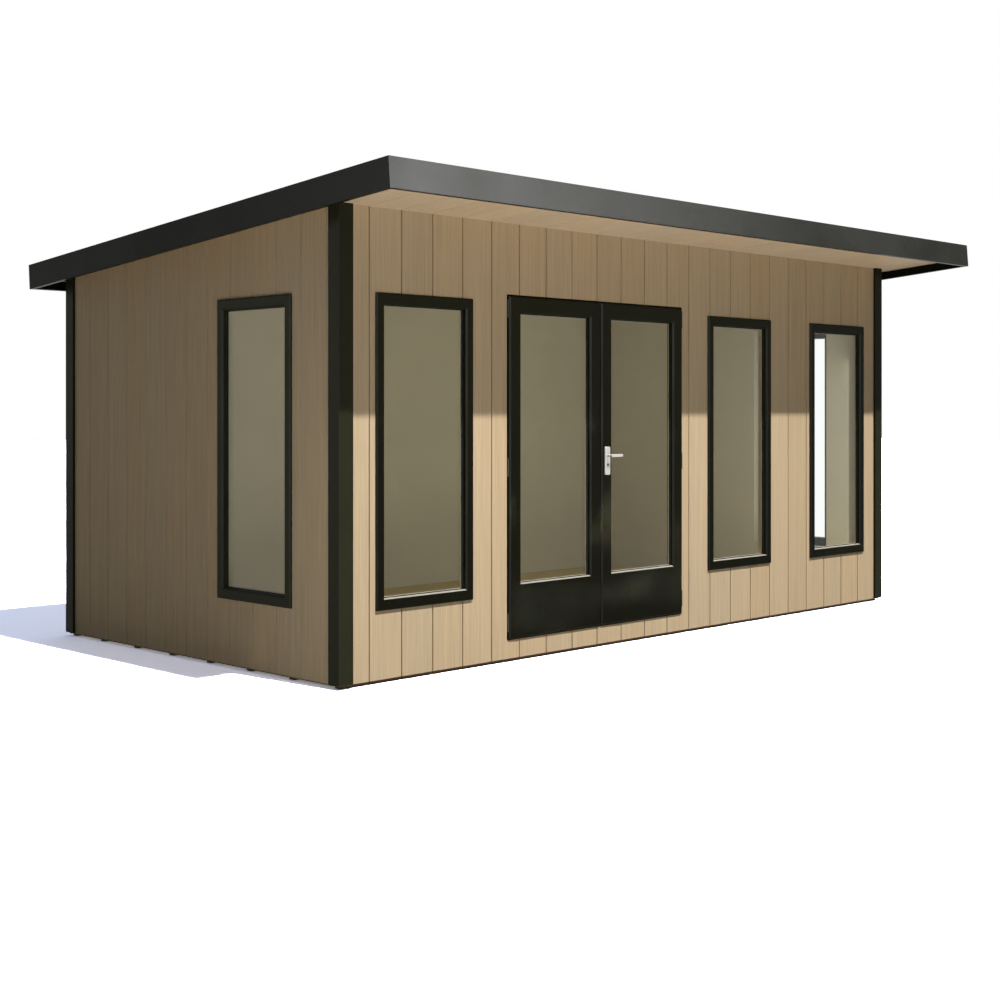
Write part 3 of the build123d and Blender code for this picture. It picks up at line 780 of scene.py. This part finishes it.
# Glazing

def panes():
    """Each pane with its body, its frame's name, the way out through its face and the way along it."""
    rows = [(f"{name}_window", f"{name}_window_glass", f"{name}_window_frame", "root") for name in WINDOWS]
    rows += [(name, f"{name}_glass", name, name) for name in LEAVES]
    outs = {"left_window": -X, "right_window": X}
    for title, glass, holder, body in rows:
        out = outs.get(title, -Y)
        yield title, glass, holder, body, out, Z.cross(out)


def sight(glass, out, bite):
    """Middle of the pane's outer face, and half its visible width and height."""
    low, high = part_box(glass)
    middle, half = (low + high) / 2, (high - low) / 2
    depth = abs(half.dot(out))
    wide = (half.x if abs(out.y) > 0.5 else half.y) - bite
    return middle, depth, wide, half.z - bite


class POD_OT_glazing(bpy.types.Operator):
    """Fit the seals round the panes, the pale beads behind them and the pale strip under the front ones, which is
    partly a painted highlight
    """

    bl_idname = "pod.glazing"
    bl_label = "Seals and beads"

    bite = 0.012            # how far a pane goes into its frame
    window_bevel = 0.009    # bevels round the panes, as in the frame
    leaf_bevel = 0.010

    def execute(self, context):
        sizes = context.scene.pod_sizes
        tree = seal_tree()
        seals, beads, inner = {}, {}, {}
        for title, glass, holder, body, out, along in panes():
            middle, depth, wide, tall = sight(glass, out, self.bite)
            for face in (1, -1):
                seals.setdefault(body, []).append(
                    self.seal(tree, sizes.seal_radius, middle + out * depth * face, out, along, wide, tall))
            at_front = out == -Y
            deep = sizes.inner_bead_side if out == -X else sizes.inner_bead_front
            inner.setdefault(body, []).append(
                self.inner_bead(middle - out * depth, -out * deep, along, wide, tall, sizes.inner_bead_width))
            # Only the panes facing the front get the pale strip, which is partly a painted highlight of the sun on the
            # bevel; the shaded left window has none.
            if at_front:
                holder_low, holder_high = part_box(holder)
                front = max(holder_low.dot(out), holder_high.dot(out))
                bevel = self.window_bevel if body == "root" else self.leaf_bevel
                beads.setdefault(body, []).append(
                    self.bead(sizes, middle, depth, out, along, wide, tall, front, bevel))
        for body, parts in seals.items():
            hand_over(join(f"{body}_pane_seals", parts), body, "roof_membrane")
        for body, parts in beads.items():
            piece = join(f"{body}_pane_beads", parts)
            dress(piece, "bead")
            hand_over(piece, body, "handle_metal")
        for body, parts in inner.items():
            piece = join(f"{body}_inner_beads", parts)
            dress(piece, "inner_bead")
            hand_over(piece, body, "lining_boards")
        return {"FINISHED"}

    @staticmethod
    def inner_bead(centre, run, along, wide, tall, width):
        """Four closed strips round the inner face of a pane, with the long ones between the short ones."""
        strips = []
        for low, high in (
            ((-wide, -tall), (-wide + width, tall)), ((wide - width, -tall), (wide, tall)),
            ((-wide + width, -tall), (wide - width, -tall + width)),
            ((-wide + width, tall - width), (wide - width, tall)),
        ):
            corners = [(low[0], low[1]), (high[0], low[1]), (high[0], high[1]), (low[0], high[1])]
            strips.append(([centre + along * u + Z * v for u, v in corners], run))
        return add_mesh("inner_bead", strips)

    def seal(self, tree, radius, centre, out, along, wide, tall):
        """One round seal in the corner between pane and frame."""
        ring = add_object("seal", bpy.data.meshes.new("seal"))
        inset = radius * 0.6
        grow(ring, tree, {
            "Width": 2 * (wide - inset), "Height": 2 * (tall - inset), "Radius": radius, "Finish": finish("rubber"),
        })
        turn = Matrix((along, Z, out)).transposed().to_4x4()
        ring.data.transform(Matrix.Translation(centre) @ turn)
        turn_outwards(ring.data)
        return ring

    def bead(self, sizes, middle, depth, out, along, wide, tall, front, bevel):
        """A thin pale strip that follows the inner half of the frame's bevel and the sill in to the seal; partly a
        painted highlight of the sunlit bevel.
        """
        sill = middle.z - tall
        thick = sizes.bead_and_highlight_thickness
        reach = sizes.seal_radius * 1.6
        glass_face = middle.dot(out) + depth
        half = bevel / 2
        stations = [
            (front - half, sill - half, wide + half), (front - bevel, sill, wide), (glass_face + reach, sill, wide),
        ]
        base = middle - out * middle.dot(out)
        base.z = 0
        points = []
        for lift in (0, thick):
            for away, height, reach_out in stations:
                for side in (-1, 1):
                    points.append(base + out * away + along * side * reach_out + Z * (height + lift))
        faces = []
        for number in range(len(stations) - 1):
            near, far = 2 * number, 2 * number + 2
            top = 2 * len(stations)
            faces += [
                (near, near + 1, far + 1, far), (near + top, far + top, far + top + 1, near + top + 1),
                (near, far, far + top, near + top), (near + 1, near + 1 + top, far + 1 + top, far + 1),
            ]
        last, top = 2 * len(stations) - 2, 2 * len(stations)
        faces += [(0, top, top + 1, 1), (last, last + 1, last + 1 + top, last + top)]
        mesh = bpy.data.meshes.new("bead")
        mesh.from_pydata(points, [], faces)
        turn_outwards(mesh)
        return add_object("bead", mesh)


def join(name, parts):
    """One object of several, with their materials."""
    shape = bmesh.new()
    for part in parts:
        shape.from_mesh(part.data)
    mesh = bpy.data.meshes.new(name)
    for material in parts[0].data.materials:
        mesh.materials.append(material)
    shape.to_mesh(mesh)
    shape.free()
    remove(*parts)
    return add_object(name, mesh)


class POD_OT_ironmongery(bpy.types.Operator):
    """Set the screws of the handle plates and the seal between the leaves"""

    bl_idname = "pod.ironmongery"
    bl_label = "Screws and meeting seal"

    def execute(self, context):
        sizes = context.scene.pod_sizes
        plates_low, plates_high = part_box("handle_plates")
        lock_proud = 0.002
        face_front, face_back = plates_low.y + lock_proud, plates_high.y - lock_proud
        middle_x = (plates_low.x + plates_high.x) / 2
        tree = copies_tree()
        sides = []
        for face, out in ((face_front, -1), (face_back, 1)):
            head = self.head(sizes.screw_radius, out)
            places = [(middle_x, face, z) for z in (plates_low.z + 0.013, plates_high.z - 0.013)]
            mesh = bpy.data.meshes.new("screws")
            mesh.from_pydata(places, [], [])
            screws = grow(add_object("screws", mesh), tree, {"Copy": head, "Finish": finish("handle_metal")})
            remove(head)
            sides.append(screws)
        hand_over(join("plate_screws", sides), "right_leaf", "handle_metal")

        left_low, left_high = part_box("left_leaf")
        strip = 0.004
        low = (left_high.x, left_high.y - 0.016, left_low.z + 0.004)
        high = (left_high.x + strip, left_high.y - 0.006, left_high.z - 0.004)
        seal = add_mesh("meeting_seal", [block(low, high)])
        dress(seal, "rubber")
        hand_over(seal, "left_leaf", "roof_membrane")
        return {"FINISHED"}

    @staticmethod
    def head(radius, out):
        """A low head that narrows to its top; out is -1 on the front face and 1 on the back."""
        shape = bmesh.new()
        sides, proud = 12, radius * 0.25
        bmesh.ops.create_cone(shape, cap_ends=True, segments=sides, radius1=radius, radius2=radius * 0.7, depth=proud)
        bmesh.ops.translate(shape, verts=shape.verts, vec=(0, 0, proud / 2))
        bmesh.ops.rotate(shape, verts=shape.verts, cent=(0, 0, 0), matrix=Matrix.Rotation(out * -math.pi / 2, 3, "X"))
        mesh = bpy.data.meshes.new("head")
        shape.to_mesh(mesh)
        shape.free()
        return add_object("head", mesh)


class POD_OT_finishes(bpy.types.Operator):
    """Give every node of the frame that still shows its finish"""

    bl_idname = "pod.finishes"
    bl_label = "Finishes"

    def execute(self, context):
        glass = [f"{name}_window_glass" for name in WINDOWS] + [f"{name}_glass" for name in LEAVES]
        by_finish = {
            "dark_trim": DARK,
            "glazing": glass,
            "dark_fascia": EDGES,
            "handle_metal": ["handle_plates", "door_lever"],
            "hinge_metal": ["jamb_hinges", "left_leaf_hinges", "right_leaf_hinges"],
            "roof_membrane": ["roof_covering"],
            "lining_boards": ["ceiling", "roof_core"],
            "bearers": ["floor_bearers"],
        }
        for name, nodes in by_finish.items():
            for node in nodes:
                dress(NODES[node], name)
        return {"FINISHED"}


# Stage

def hang(lamp, place, back):
    """Adds a lamp that shines away from the direction back."""
    made = bpy.data.objects.new(lamp.name, lamp)
    made.location = place
    made.rotation_euler = Vector(back).to_track_quat("Z", "Y").to_euler()
    bpy.context.scene.collection.objects.link(made)
    return made


def unseen(lamp):
    """Keeps a soft lamp out of reflections and out of sight through the glass."""
    lamp.visible_camera = lamp.visible_glossy = lamp.visible_transmission = False
    return lamp


def lights_only(lamp, pieces):
    """Keeps a lamp's light to some pieces."""
    lit = bpy.data.collections.new(f"{lamp.name}_on")
    for piece in pieces:
        lit.objects.link(piece)
    lamp.light_linking.receiver_collection = lit


class POD_OT_stage(bpy.types.Operator):
    """Set the pale floor, the soft light and the camera"""

    bl_idname = "pod.stage"
    bl_label = "Stage"

    def execute(self, context):
        light = context.scene.pod_light
        self.floor(light)
        self.world(context.scene, light)
        self.lamps(light)
        self.camera(context.scene)
        context.scene.view_settings.view_transform = "Standard"
        return {"FINISHED"}

    @staticmethod
    def seen(graph):
        """Masks of the camera's own rays, and of those that come by a reflection or through glass."""
        path = graph.node("ShaderNodeLightPath").outputs
        return path["Is Camera Ray"], graph.math("MAXIMUM", path["Is Glossy Ray"], path["Is Transmission Ray"])

    def floor(self, light):
        """A wide floor that shows its shadows to the camera, and plain white in glass and metal."""
        half = 60
        ring = [(-half, -half, -0.02), (half, -half, -0.02), (half, half, -0.02), (-half, half, -0.02)]
        floor = add_mesh("floor", [(ring, Z * 0.02)])
        made = bpy.data.materials.new("floor")
        made.use_nodes = True
        graph = Graph(made.node_tree)
        made.node_tree.nodes.remove(made.node_tree.nodes["Principled BSDF"])
        direct, beyond = self.seen(graph)
        place = graph.node("ShaderNodeTexCoord").outputs["Object"]
        grit = graph.rescale(graph.noise(place, 40.0, 3.0), 0.3, 0.7, 0.97, 1.0)
        shown = graph.node("ShaderNodeVectorMath", {0: (4.2, 4.3, 5.35), "Scale": grit}, operation="SCALE").outputs[0]
        albedo = graph.mix(direct, (0.17, 0.165, 0.145, 1), shown)
        matte = graph.node("ShaderNodeBsdfDiffuse", {"Color": albedo})
        glow = graph.node("ShaderNodeEmission", {"Color": (0.73, 0.81, 1.0, 1), "Strength": 1.0})
        share = graph.math("MULTIPLY", direct, light.shade)
        mixed = graph.node("ShaderNodeMixShader", {0: share, 1: matte.outputs[0], 2: glow.outputs[0]})
        flat = graph.node("ShaderNodeEmission", {"Color": (1.0, 1.0, 1.0, 1), "Strength": 1.0})
        surface = graph.node("ShaderNodeMixShader", {0: beyond, 1: mixed.outputs[0], 2: flat.outputs[0]})
        graph.feed(made.node_tree.nodes["Material Output"].inputs["Surface"], surface.outputs[0])
        floor.data.materials.append(made)

    def world(self, scene, light):
        world = bpy.data.worlds.new("studio")
        scene.world = world
        world.use_nodes = True
        graph = Graph(world.node_tree)
        backdrop = world.node_tree.nodes["Background"]
        seen = graph.math("MAXIMUM", *self.seen(graph))
        graph.feed(backdrop.inputs["Color"], graph.mix(seen, (0.86, 0.94, 1.0, 1), (1, 1, 1, 1)))
        way = graph.node("ShaderNodeTexCoord").outputs["Generated"]
        bright_side = graph.node("ShaderNodeVectorMath", {0: way, 1: (0.75, 0.55, 0.35)}, operation="DOT_PRODUCT")
        sky = graph.rescale(bright_side.outputs["Value"], -0.1, 0.9, light.sky * 0.15, light.sky)
        lift = graph.math("MULTIPLY", graph.math("SUBTRACT", 1.0, sky), seen)
        graph.feed(backdrop.inputs["Strength"], graph.math("ADD", sky, lift))

    @staticmethod
    def lamps(light):
        sun = bpy.data.lights.new("sun", "SUN")
        sun.energy, sun.angle, sun.color = light.sun, math.radians(1.1), (1.0, 0.97, 0.92)
        hang(sun, (0, 0, 6), (0.043, -0.506, 0.861))

        fill = bpy.data.lights.new("fill", "AREA")
        fill.shape, fill.size, fill.size_y = "RECTANGLE", 7.0, 3.0
        fill.energy, fill.color = light.fill, (1.0, 0.96, 0.9)
        unseen(hang(fill, (-2.6, -4.3, 0.05), (0.0, -0.25, -0.97)))

        under = bpy.data.lights.new("under", "AREA")
        under.shape, under.size, under.size_y = "RECTANGLE", 8.0, 2.0
        under.energy, under.color = light.under, (1.0, 0.96, 0.9)
        lamp = unseen(hang(under, (0, -3.0, 0.05), (0, 0, -1)))
        lights_only(lamp, [bpy.data.objects[f"{node}_boards"] for node in ("front_soffit", "side_soffits")])

        side = bpy.data.lights.new("side", "AREA")
        side.shape, side.size = "SQUARE", 1.2
        side.energy, side.color = light.side, (1.0, 0.97, 0.93)
        lamp = unseen(hang(side, (-4.0, -2.5, 0.05), (-0.5, -0.4, -0.75)))
        left_side = ["left_window_frame", "front_left_corner_post", "left_bargeboard"]
        lights_only(lamp, [bpy.data.objects["left_wall_boards"], *(NODES[node] for node in left_side)])

        room = bpy.data.lights.new("room", "AREA")
        room.shape, room.size, room.size_y = "RECTANGLE", 4.4, 1.8
        room.energy, room.color = light.room, (1.0, 1.03, 0.97)
        unseen(hang(room, (0.9, front_y + wall_t + 0.1, 0.95), (0, -1, 0)))

        corner = bpy.data.lights.new("corner", "AREA")
        corner.shape, corner.size, corner.size_y = "RECTANGLE", 0.3, 1.7
        corner.energy, corner.color = light.corner, (0.9, 1.0, 1.35)
        unseen(hang(corner, (1.6, front_y + wall_t + 0.2, 1.2), (-1, 0, 0)))

        sheen = bpy.data.lights.new("sheen", "SUN")
        sheen.energy, sheen.angle = light.sheen, math.radians(19)
        lamp = hang(sheen, (0, 0, 6), (0.609, -0.765, 0.208))
        lamp.visible_diffuse = False
        lights_only(lamp, [NODES[node] for node in EDGES])

        edge = bpy.data.lights.new("edge", "SUN")
        edge.energy, edge.angle = light.edge, math.radians(20)
        lamp = hang(edge, (0, 0, 6), (-0.7, -0.7, 0.1))
        lamp.visible_diffuse = False
        lights_only(lamp, [NODES[node] for node in DARK])

        rake = bpy.data.lights.new("rake", "SUN")
        rake.energy, rake.angle = light.rake, math.radians(20)
        lamp = hang(rake, (0, 0, 6), (-0.77, 0.63, 0.1))
        lamp.visible_diffuse = False
        lights_only(lamp, [NODES[node] for node in ("left_bargeboard", "left_window_frame", *POSTS)])

    @staticmethod
    def camera(scene):
        lens = bpy.data.cameras.new("camera")
        lens.lens = 54.86
        lens.sensor_width = 36.0
        lens.shift_x, lens.shift_y = -0.0789, -0.0907
        camera = bpy.data.objects.new("camera", lens)
        camera.location = (-7.5101, -7.5308, 1.4675)
        camera.rotation_euler = (math.radians(90), 0, math.radians(-46.65))
        scene.collection.objects.link(camera)
        scene.camera = camera


# Add-on

STEPS = (
    POD_OT_walls, POD_OT_soffits, POD_OT_floor, POD_OT_roof, POD_OT_glazing, POD_OT_ironmongery, POD_OT_finishes,
    POD_OT_stage,
)


class POD_PT_build(bpy.types.Panel):
    """Lists the steps that dress the pod"""

    bl_idname = "POD_PT_build"
    bl_label = "Garden Office Pod"
    bl_space_type = "VIEW_3D"
    bl_region_type = "UI"
    bl_category = "Pod"

    def draw(self, context):
        for step in STEPS:
            self.layout.operator(step.bl_idname)


CLASSES = (PodSizes, PodFinishes, PodLight, *STEPS, POD_PT_build)


def register():
    for item in CLASSES:
        bpy.utils.register_class(item)
    bpy.types.Scene.pod_sizes = PointerProperty(type=PodSizes)
    bpy.types.Scene.pod_finishes = PointerProperty(type=PodFinishes)
    bpy.types.Scene.pod_light = PointerProperty(type=PodLight)


def unregister():
    del bpy.types.Scene.pod_light, bpy.types.Scene.pod_finishes, bpy.types.Scene.pod_sizes
    for item in reversed(CLASSES):
        bpy.utils.unregister_class(item)


def main():
    """Dresses the frame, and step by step."""
    register()
    for step in STEPS:
        package, name = step.bl_idname.split(".")
        getattr(getattr(bpy.ops, package), name)()
    bpy.context.view_layer.update()


if __name__ == "__main__":
    main()
